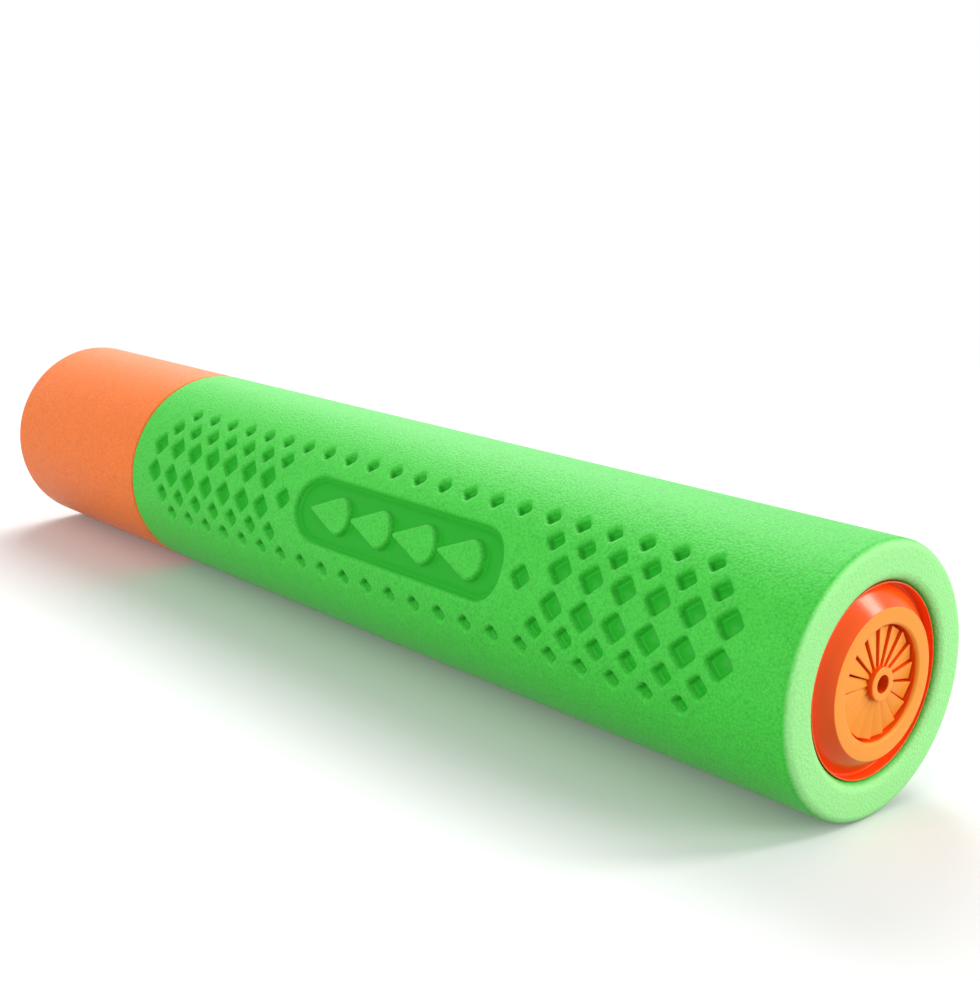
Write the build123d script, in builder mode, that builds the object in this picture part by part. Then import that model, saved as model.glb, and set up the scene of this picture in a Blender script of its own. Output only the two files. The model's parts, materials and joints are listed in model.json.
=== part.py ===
from build123d import *
import os
from math import cos, radians, sin, tan

# A pull-to-fill, push-to-squirt water squirter, lying on its side.
# A white pump barrel runs through a foam sleeve, an orange nozzle cap closes its front,
# and a plunger with a foam handle slides and turns in it from behind.
# The barrel's axis lies along X, the nozzle points to +X and Z is up.
# The origin is on the ground, under the middle of the whole length. Millimetres.

# Sizes of the foam
FOAM_R = 30.0
SLEEVE_LENGTH = 254.5
GRIP_LENGTH = 82.4
SEAM_GAP = 0.3
FRONT_ROUNDING = 2.0
SEAM_ROUNDING = 0.8
REAR_ROUNDING = 4.0
MOUTH_ROUNDING = 2.5

# Fits: glued or plugged pieces, and pieces that slide or turn
GLUE_GAP = 0.1
SLIDE_GAP = 0.1
PISTON_GAP = 0.25
GUIDE_GAP = 0.5
STOP_GAP = 0.3

# Barrel tube
BORE_R = 13.25
TUBE_WALL = 1.75

# Nozzle cap: a rim sunk in the foam, a groove behind it, a cone up to a flat ring just proud of the foam
RIM_R = 21.0
RIM_SINK = 1.2
RIM_LIP = 0.35
RIM_GAP = 0.2
GROOVE_R = 20.4
GROOVE_DEPTH = 2.5
RING_PROUD = 0.75
RING_OUTER_R = 16.2
RING_INNER_R = 12.4
RING_OUTER_ROUNDING = 0.3
RING_INNER_ROUNDING = 0.7
RECESS_DEPTH = 5.0
CAP_WALL = 2.5
FLANGE_DEPTH = 5.0
THROAT_LENGTH = 2.0
SKIRT_WALL = 2.0
SKIRT_OVERLAP = 12.0
GASKET_THICKNESS = 1.2

# Fan insert: a ring of slanted blades around the outlet, with a narrow gap beside each
BLADE_COUNT = 17
BLADE_TIP_R = 11.8
BLADE_SINK = 1.1
BLADE_DROP = 0.6
BLADE_GAP_ANGLE = 2.3
BLADE_START_ANGLE = 8.2
FAN_BASE_THICKNESS = 1.4
FAN_EDGE_GAP = 0.2
HUB_R = 3.65
ORIFICE_R = 1.95
ORIFICE_LAND = 6.0
STEM_R = 5.0
BARB_STEP = 0.6
BARB_LENGTH = 1.2
INLET_R = 3.6

# Rear collar: a flange sunk in the foam and a spigot held by lugs in the tube's windows
COLLAR_R = 20.0
COLLAR_FLANGE = 2.0
COLLAR_SPIGOT = 10.0
LUG_COUNT = 4
LUG_LENGTH = 3.0
LUG_WIDTH = 5.0
LUG_HEIGHT = 1.4
WINDOW_GAP = 0.4

# Plunger
ROD_R = 9.0
RIB_THICKNESS = 2.4
ROD_CORE_R = 3.6
ROD_DISC_COUNT = 5
ROD_DISC_THICKNESS = 2.0
PISTON_LENGTH = 12.0
PISTON_CHAMFER = 1.0
PISTON_SOCKET_R = 6.1
PISTON_SOCKET_DEPTH = 4.5
ORING_SECTION_R = 1.3
SCREW_R = 1.8
SCREW_HOLE_GAP = 0.2
SCREW_HEAD_R = 4.0
SCREW_HEAD_HEIGHT = 2.4
PISTON_SCREW_LENGTH = 14.0
HANDLE_SCREW_LENGTH = 14.0
PILOT_SPARE = 1.0

# Handle: a white core with a disc in front, an end cap behind and foam around it
DISC_R = 20.0
DISC_THICKNESS = 2.5
CORE_R = 13.0
CORE_WALL = 2.0
ROD_SOCKET_DEPTH = 18.0
CORE_WEB = 3.0
END_CAP_R = 20.0
END_CAP_THICKNESS = 2.5
END_CAP_SPIGOT = 10.0
END_CAP_DISH_R = 15.0
END_CAP_DISH = 0.7
END_CAP_ROUNDING = 0.6

# Relief pressed into both sides of the sleeve: each row's distance from the middle line, and its lozenges
RELIEF_ANGLE = 20.0
RELIEF_PITCH = 9.7
RELIEF_START = 18.1
INNER_ROW_ARC = 4.3
INNER_DIAGONAL = 7.8
MIDDLE_ROW_ARC = 10.5
MIDDLE_DIAGONAL = 6.0
OUTER_ROW_ARC = 15.9
OUTER_DIAGONAL = 5.0
POCKET_DEPTH = 1.8
POCKET_TAPER = 10.0
INNER_COUNT = 24
MIDDLE_COUNT = 23
OUTER_COUNT = 22
FIRST_LEFT_OUT = 6
LAST_LEFT_OUT = 16

# Smooth panel with raised drops, in the middle of the relief, with a single lozenge at each end
PANEL_SETBACK = 125.7
SINGLE_SPREAD = 95.6
SINGLE_DIAGONAL = 6.8
PANEL_LENGTH = 83.0
PANEL_HEIGHT = 19.0
PANEL_DEPTH = 1.8
DROP_COUNT = 4
DROP_PITCH = 17.5
DROP_R = 5.0
DROP_TAIL = 10.5
DROP_TIP_R = 0.6
TOOL_OVERSHOOT = 1.0

# Stations along the barrel, worked out from its middle
OVERALL = RING_PROUD + SLEEVE_LENGTH + SEAM_GAP + GRIP_LENGTH
RING_X = OVERALL / 2
SLEEVE_FRONT = RING_X - RING_PROUD
SLEEVE_REAR = SLEEVE_FRONT - SLEEVE_LENGTH
GRIP_FRONT = SLEEVE_REAR - SEAM_GAP
GRIP_REAR = GRIP_FRONT - GRIP_LENGTH
RIM_X = SLEEVE_FRONT - RIM_SINK
RECESS_FLOOR = RING_X - RECESS_DEPTH
CAP_INSIDE = RECESS_FLOOR - CAP_WALL
FLANGE_REAR = RIM_X - FLANGE_DEPTH
GASKET_FRONT = CAP_INSIDE - THROAT_LENGTH
TUBE_FRONT = GASKET_FRONT - GASKET_THICKNESS
SKIRT_REAR = TUBE_FRONT - SKIRT_OVERLAP
COLLAR_FRONT = SLEEVE_REAR + COLLAR_FLANGE
TUBE_REAR = COLLAR_FRONT + GLUE_GAP
SPIGOT_FRONT = COLLAR_FRONT + COLLAR_SPIGOT
LUG_X = COLLAR_FRONT + COLLAR_SPIGOT / 2
PISTON_FRONT = TUBE_FRONT - STOP_GAP
PISTON_REAR = PISTON_FRONT - PISTON_LENGTH
ORING_X = (PISTON_FRONT + PISTON_REAR) / 2
ROD_SHOULDER = PISTON_REAR - GLUE_GAP
ROD_SOCKET_END = GRIP_FRONT - ROD_SOCKET_DEPTH
CORE_WEB_REAR = ROD_SOCKET_END - CORE_WEB
DISC_REAR = GRIP_FRONT - DISC_THICKNESS
END_CAP_FRONT = GRIP_REAR + END_CAP_THICKNESS
CORE_REAR = END_CAP_FRONT + GLUE_GAP
STROKE = PISTON_REAR - SPIGOT_FRONT - STOP_GAP

# Radii that follow from the others
TUBE_R = BORE_R + TUBE_WALL
SKIRT_INNER_R = TUBE_R + GLUE_GAP
SKIRT_R = SKIRT_INNER_R + SKIRT_WALL
PISTON_R = BORE_R - PISTON_GAP
ORING_CENTRE_R = BORE_R - SLIDE_GAP - ORING_SECTION_R
GROOVE_FLOOR_R = ORING_CENTRE_R - ORING_SECTION_R - SLIDE_GAP
GROOVE_WIDTH = 2 * (ORING_SECTION_R + SLIDE_GAP)
GUIDE_R = ROD_R + GUIDE_GAP
SCREW_HOLE_R = SCREW_R + SCREW_HOLE_GAP
ROD_BOSS_R = PISTON_SOCKET_R - GLUE_GAP
CORE_INNER_R = CORE_R - CORE_WALL
FAN_R = RING_INNER_R - FAN_EDGE_GAP

AXIS_Z = FOAM_R
BARREL_AXIS = Axis((0, 0, AXIS_Z), (1, 0, 0))
SECTION = Plane(origin=(0, 0, AXIS_Z), x_dir=(1, 0, 0), z_dir=(0, -1, 0))


def band(rear_x, front_x, inner_r, outer_r, mode=Mode.ADD):
    """Draw a rectangle of a turned section, between two stations and two radii."""
    with Locations(((rear_x + front_x) / 2, (inner_r + outer_r) / 2)):
        Rectangle(front_x - rear_x, outer_r - inner_r, mode=mode)


def corners_at(sketch, x, radius):
    """Pick a section's corners at one station and one radius."""
    return [v for v in sketch.vertices() if abs(v.X - x) < 0.01 and abs(v.Y - radius) < 0.01]


def cross_plane(x):
    """Give the plane across the barrel at a station, facing the nozzle's side, with Z up."""
    return Plane(origin=(x, 0, AXIS_Z), x_dir=(0, 1, 0), z_dir=(1, 0, 0))


def surface_plane(x, angle, radius):
    """Give a plane facing out of the barrel; the angle rises from its -Y side towards its top."""
    outward = Vector(0, -cos(radians(angle)), sin(radians(angle)))
    return Plane(
        origin=Vector(x, 0, AXIS_Z) + outward * radius,
        x_dir=(1, 0, 0),
        z_dir=outward,
    )


def arc_angle(arc):
    """Turn a distance around the foam's surface into degrees."""
    return Vector(1, 0, 0).get_angle(Vector(cos(arc / FOAM_R), sin(arc / FOAM_R), 0))


# Foam sleeve, with the relief pressed into its two sides
SIDES = (RELIEF_ANGLE, RELIEF_ANGLE + 180)


def pocket_planes(setbacks, arc):
    """Give the places of pockets at setbacks from the front, above and below each side's middle line."""
    offsets = (arc_angle(arc), -arc_angle(arc)) if arc else (0,)
    return [
        surface_plane(SLEEVE_FRONT - setback, side + offset, FOAM_R + TOOL_OVERSHOOT)
        for side in SIDES
        for offset in offsets
        for setback in setbacks
    ]


def row_setbacks(count, stagger, left_out=()):
    """Give the setbacks of a row's pockets; stagger counts half pitches, and the panel leaves some out."""
    start = RELIEF_START + stagger * RELIEF_PITCH / 2
    return [start + k * RELIEF_PITCH for k in range(count) if k not in left_out]


POCKET_ROWS = (
    (
        row_setbacks(INNER_COUNT, 0, range(FIRST_LEFT_OUT, LAST_LEFT_OUT + 1)),
        INNER_ROW_ARC,
        INNER_DIAGONAL,
    ),
    (
        row_setbacks(MIDDLE_COUNT, 1, range(FIRST_LEFT_OUT, LAST_LEFT_OUT)),
        MIDDLE_ROW_ARC,
        MIDDLE_DIAGONAL,
    ),
    (row_setbacks(OUTER_COUNT, 2), OUTER_ROW_ARC, OUTER_DIAGONAL),
    ([PANEL_SETBACK - SINGLE_SPREAD / 2, PANEL_SETBACK + SINGLE_SPREAD / 2], 0, SINGLE_DIAGONAL),
)


def pocket_side(diagonal):
    """Give a lozenge's side where the tool starts, just outside the surface."""
    widening = TOOL_OVERSHOOT * tan(radians(POCKET_TAPER))
    return diagonal / 2**0.5 + 2 * widening


PANEL_X = SLEEVE_FRONT - PANEL_SETBACK
PANEL_TOOL_R = FOAM_R - PANEL_DEPTH * 3

with BuildPart() as panel_tool:
    with BuildSketch(*[surface_plane(PANEL_X, side, PANEL_TOOL_R) for side in SIDES]):
        SlotOverall(PANEL_LENGTH, PANEL_HEIGHT)
        with BuildSketch(mode=Mode.PRIVATE) as drop:
            Circle(DROP_R)
            with Locations((-DROP_TAIL, 0)):
                Circle(DROP_TIP_R)
            make_hull()
        with GridLocations(DROP_PITCH, 0, DROP_COUNT, 1):
            with Locations(((DROP_TAIL + DROP_TIP_R - DROP_R) / 2, 0)):
                add(drop.sketch, mode=Mode.SUBTRACT)
    extrude(amount=FOAM_R - PANEL_TOOL_R + TOOL_OVERSHOOT)
    with BuildSketch(SECTION):
        band(
            PANEL_X - PANEL_LENGTH,
            PANEL_X + PANEL_LENGTH,
            FOAM_R - PANEL_DEPTH,
            FOAM_R + 2 * TOOL_OVERSHOOT,
        )
    revolve(axis=BARREL_AXIS, mode=Mode.INTERSECT)

with BuildPart() as foam_sleeve:
    with BuildSketch(SECTION) as section:
        band(SLEEVE_REAR, SLEEVE_FRONT, TUBE_R + GLUE_GAP, FOAM_R)
        band(SKIRT_REAR - GLUE_GAP, SLEEVE_FRONT, TUBE_R, SKIRT_R + GLUE_GAP, mode=Mode.SUBTRACT)
        band(FLANGE_REAR - GLUE_GAP, SLEEVE_FRONT, TUBE_R, RIM_R + RIM_GAP, mode=Mode.SUBTRACT)
        band(SLEEVE_REAR, TUBE_REAR, TUBE_R, COLLAR_R + GLUE_GAP, mode=Mode.SUBTRACT)
        fillet(corners_at(section, SLEEVE_FRONT, FOAM_R), FRONT_ROUNDING)
        fillet(corners_at(section, SLEEVE_REAR, FOAM_R), SEAM_ROUNDING)
        fillet(corners_at(section, SLEEVE_FRONT, RIM_R + RIM_GAP), MOUTH_ROUNDING)
    revolve(axis=BARREL_AXIS)
    for setbacks, arc, diagonal in POCKET_ROWS:
        with BuildSketch(*pocket_planes(setbacks, arc)):
            Rectangle(pocket_side(diagonal), pocket_side(diagonal), rotation=45)
        extrude(amount=-POCKET_DEPTH - TOOL_OVERSHOOT, taper=POCKET_TAPER, mode=Mode.SUBTRACT)
    add(panel_tool.part, mode=Mode.SUBTRACT)


def lug_planes(radius):
    """Give the places of the collar's lugs, and of the tube's windows for them, at a radius."""
    return [surface_plane(LUG_X, 90 + k * 360 / LUG_COUNT, radius) for k in range(LUG_COUNT)]


# Barrel tube, with the windows that the collar's lugs snap into
with BuildPart() as barrel_tube:
    with BuildSketch(SECTION):
        band(TUBE_REAR, TUBE_FRONT, BORE_R, TUBE_R)
    revolve(axis=BARREL_AXIS)
    with BuildSketch(*lug_planes(BORE_R / 2)):
        Rectangle(LUG_LENGTH + WINDOW_GAP, LUG_WIDTH + WINDOW_GAP)
    extrude(amount=TUBE_R, mode=Mode.SUBTRACT)

# Nozzle cap, turned from one section
with BuildPart() as nozzle_cap:
    with BuildSketch(SECTION) as section:
        with BuildLine():
            Polyline(
                (RECESS_FLOOR, RING_INNER_R),
                (RING_X, RING_INNER_R),
                (RING_X, RING_OUTER_R),
                (RIM_X - GROOVE_DEPTH, GROOVE_R),
                (RIM_X, RIM_R - RIM_LIP),
                (RIM_X, RIM_R),
                (FLANGE_REAR, RIM_R),
                (FLANGE_REAR, SKIRT_R),
                (SKIRT_REAR, SKIRT_R),
                (SKIRT_REAR, SKIRT_INNER_R),
                (GASKET_FRONT, SKIRT_INNER_R),
                (GASKET_FRONT, BORE_R),
                (CAP_INSIDE, BORE_R),
                (CAP_INSIDE, STEM_R + GLUE_GAP),
                (RECESS_FLOOR, STEM_R + GLUE_GAP),
                close=True,
            )
        make_face()
        fillet(corners_at(section, RING_X, RING_INNER_R), RING_INNER_ROUNDING)
        fillet(corners_at(section, RING_X, RING_OUTER_R), RING_OUTER_ROUNDING)
    revolve(axis=BARREL_AXIS)

# Fan insert: base, hub and snap stem are turned, and each blade widens outwards
FAN_BASE_X = RECESS_FLOOR + FAN_BASE_THICKNESS
BLADE_HEIGHT = RING_X - BLADE_SINK - FAN_BASE_X
BLADE_ROOT_R = HUB_R * 0.9
BARB_REAR = CAP_INSIDE - GLUE_GAP - BARB_LENGTH
HALF_PITCH = 180 / BLADE_COUNT


def blade_outline(radius):
    """Draw a blade's section: its top runs down from the high side to the gap before the next blade."""
    high_side = -radius * tan(radians(HALF_PITCH))
    low_side = radius * tan(radians(HALF_PITCH - BLADE_GAP_ANGLE))
    Polyline(
        (0, high_side),
        (BLADE_HEIGHT, high_side),
        (BLADE_HEIGHT - BLADE_DROP, low_side),
        (0, low_side),
        close=True,
    )


def blade_plane(index, radius):
    """Give the plane across a blade at a radius, with local x to the nozzle's front."""
    angle = radians(BLADE_START_ANGLE + (index + 0.5) * 360 / BLADE_COUNT)
    outward = Vector(0, cos(angle), sin(angle))
    return Plane(
        origin=Vector(FAN_BASE_X, 0, AXIS_Z) + outward * radius,
        x_dir=(1, 0, 0),
        z_dir=outward,
    )


with BuildPart() as nozzle_fan:
    with BuildSketch(SECTION) as section:
        band(RECESS_FLOOR + GLUE_GAP, FAN_BASE_X, ORIFICE_R, FAN_R)
        band(FAN_BASE_X, RING_X, ORIFICE_R, HUB_R)
        band(BARB_REAR, FAN_BASE_X, ORIFICE_R, STEM_R)
        with BuildLine():
            Polyline(
                (BARB_REAR, STEM_R - BARB_STEP),
                (CAP_INSIDE - GLUE_GAP, STEM_R + BARB_STEP),
                (CAP_INSIDE - GLUE_GAP, ORIFICE_R),
                (BARB_REAR, ORIFICE_R),
                close=True,
            )
        make_face()
        with BuildLine():
            Polyline(
                (RING_X - ORIFICE_LAND, ORIFICE_R),
                (BARB_REAR, INLET_R),
                (BARB_REAR, 0),
                (RING_X - ORIFICE_LAND, 0),
                close=True,
            )
        make_face(mode=Mode.SUBTRACT)
    revolve(axis=BARREL_AXIS)
    for index in range(BLADE_COUNT):
        with BuildSketch(blade_plane(index, BLADE_ROOT_R)):
            with BuildLine():
                blade_outline(BLADE_ROOT_R)
            make_face()
        with BuildSketch(blade_plane(index, BLADE_TIP_R)):
            with BuildLine():
                blade_outline(BLADE_TIP_R)
            make_face()
        loft(ruled=True)

# Flat gasket between the tube's end and the cap's shoulder
with BuildPart() as nozzle_gasket:
    with BuildSketch(SECTION):
        band(TUBE_FRONT, GASKET_FRONT, BORE_R, TUBE_R)
    revolve(axis=BARREL_AXIS)

# Rear collar, which guides the rod and stops the piston
with BuildPart() as rear_collar:
    with BuildSketch(SECTION) as section:
        band(SLEEVE_REAR, COLLAR_FRONT, GUIDE_R, COLLAR_R)
        band(SLEEVE_REAR, SPIGOT_FRONT, GUIDE_R, BORE_R - GLUE_GAP)
        fillet(corners_at(section, SLEEVE_REAR, GUIDE_R), SEAM_ROUNDING)
    revolve(axis=BARREL_AXIS)
    with BuildSketch(*lug_planes(GUIDE_R + GUIDE_GAP)):
        Rectangle(LUG_LENGTH, LUG_WIDTH)
    extrude(amount=BORE_R + LUG_HEIGHT - GUIDE_R - GUIDE_GAP)

# Piston ring, in the piston's groove
with BuildPart() as piston_oring:
    with BuildSketch(SECTION):
        with Locations((ORING_X, ORING_CENTRE_R)):
            Circle(ORING_SECTION_R)
    revolve(axis=BARREL_AXIS)

# Piston head: a screw's counterbore in front, the rod's socket behind
with BuildPart() as piston_head:
    with BuildSketch(SECTION) as section:
        band(PISTON_REAR, PISTON_FRONT, SCREW_HOLE_R, PISTON_R)
        band(
            ORING_X - GROOVE_WIDTH / 2,
            ORING_X + GROOVE_WIDTH / 2,
            GROOVE_FLOOR_R,
            BORE_R,
            mode=Mode.SUBTRACT,
        )
        band(
            PISTON_FRONT - SCREW_HEAD_HEIGHT - 2 * GLUE_GAP,
            PISTON_FRONT,
            0,
            SCREW_HEAD_R + SCREW_HOLE_GAP,
            mode=Mode.SUBTRACT,
        )
        band(
            PISTON_REAR,
            PISTON_REAR + PISTON_SOCKET_DEPTH,
            0,
            PISTON_SOCKET_R,
            mode=Mode.SUBTRACT,
        )
        chamfer(corners_at(section, PISTON_FRONT, PISTON_R), PISTON_CHAMFER)
        chamfer(corners_at(section, PISTON_REAR, PISTON_R), PISTON_CHAMFER)
    revolve(axis=BARREL_AXIS)


def screw_section(head_x, direction, length):
    """Draw a pan-head screw's half section, from the underside of its head; direction is the tip's."""
    tip = head_x + direction * length
    top = head_x - direction * SCREW_HEAD_HEIGHT
    Polyline(
        (top, 0),
        (top, SCREW_HEAD_R - SCREW_R / 2),
        (head_x - direction * SCREW_HEAD_HEIGHT / 2, SCREW_HEAD_R),
        (head_x, SCREW_HEAD_R),
        (head_x, SCREW_R),
        (tip - direction * SCREW_R, SCREW_R),
        (tip, 0),
        close=True,
    )


PISTON_SCREW_SEAT = PISTON_FRONT - SCREW_HEAD_HEIGHT - GLUE_GAP

with BuildPart() as piston_screw:
    with BuildSketch(SECTION):
        with BuildLine():
            screw_section(PISTON_SCREW_SEAT, -1, PISTON_SCREW_LENGTH)
        make_face()
    revolve(axis=BARREL_AXIS)

HANDLE_SCREW_SEAT = CORE_WEB_REAR - GLUE_GAP

with BuildPart() as handle_screw:
    with BuildSketch(SECTION):
        with BuildLine():
            screw_section(HANDLE_SCREW_SEAT, 1, HANDLE_SCREW_LENGTH)
        make_face()
    revolve(axis=BARREL_AXIS)

# Plunger rod: four ribs on a core, stiffening discs, and a boss at each end
PILOT_FRONT = PISTON_SCREW_SEAT - PISTON_SCREW_LENGTH - PILOT_SPARE
PILOT_REAR = HANDLE_SCREW_SEAT + HANDLE_SCREW_LENGTH + PILOT_SPARE
ROD_FRONT = PISTON_REAR + PISTON_SOCKET_DEPTH - GLUE_GAP
ROD_REAR = ROD_SOCKET_END + GLUE_GAP
RIB_SPAN = ROD_SHOULDER - GRIP_FRONT
DISC_PITCH = RIB_SPAN / ROD_DISC_COUNT

with BuildPart() as plunger_rod:
    with BuildSketch(cross_plane(GRIP_FRONT)):
        Rectangle(2 * ROD_R, RIB_THICKNESS)
        Rectangle(RIB_THICKNESS, 2 * ROD_R)
        Circle(ROD_CORE_R)
    extrude(amount=RIB_SPAN)
    with BuildSketch(SECTION):
        band(ROD_REAR, GRIP_FRONT, 0, ROD_R)
        band(ROD_SHOULDER, ROD_FRONT, 0, ROD_BOSS_R)
        for k in range(1, ROD_DISC_COUNT + 1):
            disc_front = GRIP_FRONT + k * DISC_PITCH
            band(disc_front - ROD_DISC_THICKNESS, disc_front, 0, ROD_R)
    revolve(axis=BARREL_AXIS)
    with BuildSketch(SECTION):
        band(PILOT_FRONT, ROD_FRONT, 0, SCREW_HOLE_R)
        band(ROD_REAR, PILOT_REAR, 0, SCREW_HOLE_R)
    revolve(axis=BARREL_AXIS, mode=Mode.SUBTRACT)

# Handle core: the disc seen from the front, the rod's socket and the hollow stem
with BuildPart() as handle_core:
    with BuildSketch(SECTION) as section:
        band(DISC_REAR, GRIP_FRONT, ROD_R + GLUE_GAP, DISC_R)
        band(CORE_REAR, GRIP_FRONT, SCREW_HOLE_R, CORE_R)
        band(ROD_SOCKET_END, GRIP_FRONT, 0, ROD_R + GLUE_GAP, mode=Mode.SUBTRACT)
        band(CORE_REAR, CORE_WEB_REAR, 0, CORE_INNER_R, mode=Mode.SUBTRACT)
        fillet(corners_at(section, GRIP_FRONT, DISC_R), SEAM_ROUNDING)
    revolve(axis=BARREL_AXIS)

# Foam grip around the core
with BuildPart() as handle_grip:
    with BuildSketch(SECTION) as section:
        band(GRIP_REAR, GRIP_FRONT, CORE_R + GLUE_GAP, FOAM_R)
        band(DISC_REAR - GLUE_GAP, GRIP_FRONT, CORE_R, DISC_R + GLUE_GAP, mode=Mode.SUBTRACT)
        band(GRIP_REAR, CORE_REAR, CORE_R, END_CAP_R + GLUE_GAP, mode=Mode.SUBTRACT)
        fillet(corners_at(section, GRIP_FRONT, FOAM_R), SEAM_ROUNDING)
        fillet(corners_at(section, GRIP_REAR, FOAM_R), REAR_ROUNDING)
    revolve(axis=BARREL_AXIS)

# End cap: a shallow dish, flush with the foam, plugged into the core
with BuildPart() as handle_end_cap:
    with BuildSketch(SECTION) as section:
        band(GRIP_REAR, END_CAP_FRONT, 0, END_CAP_R)
        band(END_CAP_FRONT, END_CAP_FRONT + END_CAP_SPIGOT, 0, CORE_INNER_R - GLUE_GAP)
        band(
            END_CAP_FRONT,
            END_CAP_FRONT + END_CAP_SPIGOT,
            0,
            CORE_INNER_R - CORE_WALL,
            mode=Mode.SUBTRACT,
        )
        band(GRIP_REAR, GRIP_REAR + END_CAP_DISH, 0, END_CAP_DISH_R, mode=Mode.SUBTRACT)
        fillet(corners_at(section, GRIP_REAR, END_CAP_R), END_CAP_ROUNDING)
    revolve(axis=BARREL_AXIS)

PIECES = {
    "foam_sleeve": foam_sleeve,
    "barrel_tube": barrel_tube,
    "nozzle_cap": nozzle_cap,
    "nozzle_fan": nozzle_fan,
    "nozzle_gasket": nozzle_gasket,
    "rear_collar": rear_collar,
    "piston_oring": piston_oring,
    "piston_head": piston_head,
    "piston_screw": piston_screw,
    "plunger_rod": plunger_rod,
    "handle_core": handle_core,
    "handle_screw": handle_screw,
    "handle_grip": handle_grip,
    "handle_end_cap": handle_end_cap,
}

os.makedirs("parts", exist_ok=True)
for name, piece in PIECES.items():
    piece.part.label = name
    export_step(piece.part, f"parts/{name}.step")
    print(name, round(piece.part.volume, 1))
print("stroke", round(STROKE, 2), "outlet front", round(RING_X, 2))
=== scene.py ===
import json
from math import atan, cos, pi, radians, sin, tan

import bmesh
import bpy
import numpy as np
from bpy.props import FloatProperty, FloatVectorProperty, IntProperty, PointerProperty
from mathutils import Matrix, Vector


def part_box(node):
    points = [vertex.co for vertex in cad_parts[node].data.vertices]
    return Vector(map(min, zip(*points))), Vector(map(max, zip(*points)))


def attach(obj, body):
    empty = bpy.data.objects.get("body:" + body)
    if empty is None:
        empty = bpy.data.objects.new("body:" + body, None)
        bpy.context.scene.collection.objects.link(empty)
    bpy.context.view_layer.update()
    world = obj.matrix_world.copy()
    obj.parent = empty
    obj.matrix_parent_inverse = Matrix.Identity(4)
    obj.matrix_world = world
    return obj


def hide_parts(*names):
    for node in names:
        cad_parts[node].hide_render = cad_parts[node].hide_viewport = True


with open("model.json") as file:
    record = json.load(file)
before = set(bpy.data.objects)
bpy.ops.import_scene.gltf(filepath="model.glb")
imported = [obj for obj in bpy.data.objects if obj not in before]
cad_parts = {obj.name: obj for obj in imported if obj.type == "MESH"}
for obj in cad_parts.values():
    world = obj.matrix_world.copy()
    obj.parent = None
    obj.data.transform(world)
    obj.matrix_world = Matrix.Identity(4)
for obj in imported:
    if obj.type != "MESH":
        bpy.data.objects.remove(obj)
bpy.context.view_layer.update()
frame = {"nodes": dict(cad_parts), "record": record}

bl_info = {
    "name": "Foam Water Squirter",
    "version": (1, 0, 0),
    "blender": (4, 5, 0),
    "location": "View3D > Sidebar > Squirter",
    "description": "Dresses a foam water squirter: pressed foam, moulded nozzle, pump plunger and studio",
    "category": "Add Mesh",
}

MM = 0.001


def span(node, axis):
    """Give a node's lowest and highest place along one axis: 0, 1 or 2."""
    low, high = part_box(node)
    return low[axis], high[axis]


def outer_radius(node):
    """Give the radius of a turned node."""
    low, high = span(node, 1)
    return (high - low) / 2


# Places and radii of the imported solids, in metres
SLEEVE_REAR, SLEEVE_FRONT = span("foam_sleeve", 0)
GRIP_REAR, GRIP_FRONT = span("handle_grip", 0)
SKIRT_REAR, RING_X = span("nozzle_cap", 0)
BARB_REAR = span("nozzle_fan", 0)[0]
TUBE_REAR = span("barrel_tube", 0)[0]
CORE_REAR = span("handle_core", 0)[0]
FOAM_R = outer_radius("foam_sleeve")
RIM_R = outer_radius("nozzle_cap")
FAN_R = outer_radius("nozzle_fan")
TUBE_R = outer_radius("barrel_tube")
COLLAR_R = outer_radius("rear_collar")
DISC_R = outer_radius("handle_core")
END_CAP_R = outer_radius("handle_end_cap")
AXIS_Z = FOAM_R

# Sizes that the solids share with the dressed pieces
GLUE_GAP = 0.1 * MM
FRONT_ROUNDING = 2.0 * MM
SEAM_ROUNDING = 0.8 * MM
REAR_ROUNDING = 4.0 * MM
MOUTH_ROUNDING = 2.5 * MM
FLANGE_DEPTH = 5.0 * MM
SKIRT_R = 17.1 * MM
CORE_R = 13.0 * MM
DISC_THICKNESS = 2.5 * MM

# Finer sizes of the dressed pieces: the foam's mouth hugs the rim closer than in the solids
RIM_GAP = 0.03 * MM
HOLE_ROUNDING = 0.4 * MM
GROOVE_ROUNDING = 0.2 * MM
RIM_EDGE = 0.12 * MM
SKIRT_EDGE = 0.3 * MM
FAN_EDGE = 0.15 * MM
EDGE_ANGLE = radians(40)
FAN_SHARP_ANGLE = radians(35)

# Nozzle: the rim lies sunk in the foam, and a groove parts it from the cone up to the ring
RIM_SINK = 1.2 * MM
RIM_X = SLEEVE_FRONT - RIM_SINK
RIM_LIP = 0.35 * MM
GROOVE_R = 20.4 * MM
GROOVE_DEPTH = 2.5 * MM
RING_OUTER_R = 16.2 * MM
RING_OUTER_ROUNDING = 0.3 * MM
RING_INNER_R = 12.4 * MM
RING_INNER_ROUNDING = 0.7 * MM
RECESS_FLOOR = RING_X - 5.0 * MM
CAP_INSIDE = RECESS_FLOOR - 2.5 * MM
GASKET_FRONT = CAP_INSIDE - 2.0 * MM
SKIRT_INNER_R = TUBE_R + GLUE_GAP
BORE_R = 13.25 * MM
STEM_R = 5.0 * MM
FAN_BASE_X = RECESS_FLOOR + 1.4 * MM
BLADE_FRONT = RING_X - 1.1 * MM
BLADE_TIP_R = 11.8 * MM
BLADE_DROP = 0.6 * MM
BLADE_GAP_ANGLE = radians(2.3)
BLADE_START_ANGLE = radians(8.2)
HUB_R = 3.65 * MM
BLADE_ROUNDING = 0.2 * MM
BLADE_ROOT_R = HUB_R * 0.9
BLADE_ROOT_SINK = 0.3 * MM
BLADE_SIDE_SLOPE = 0.35
BARB_STEP = 0.6 * MM
ORIFICE_R = 1.95 * MM
ORIFICE_LAND = 6.0 * MM
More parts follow.
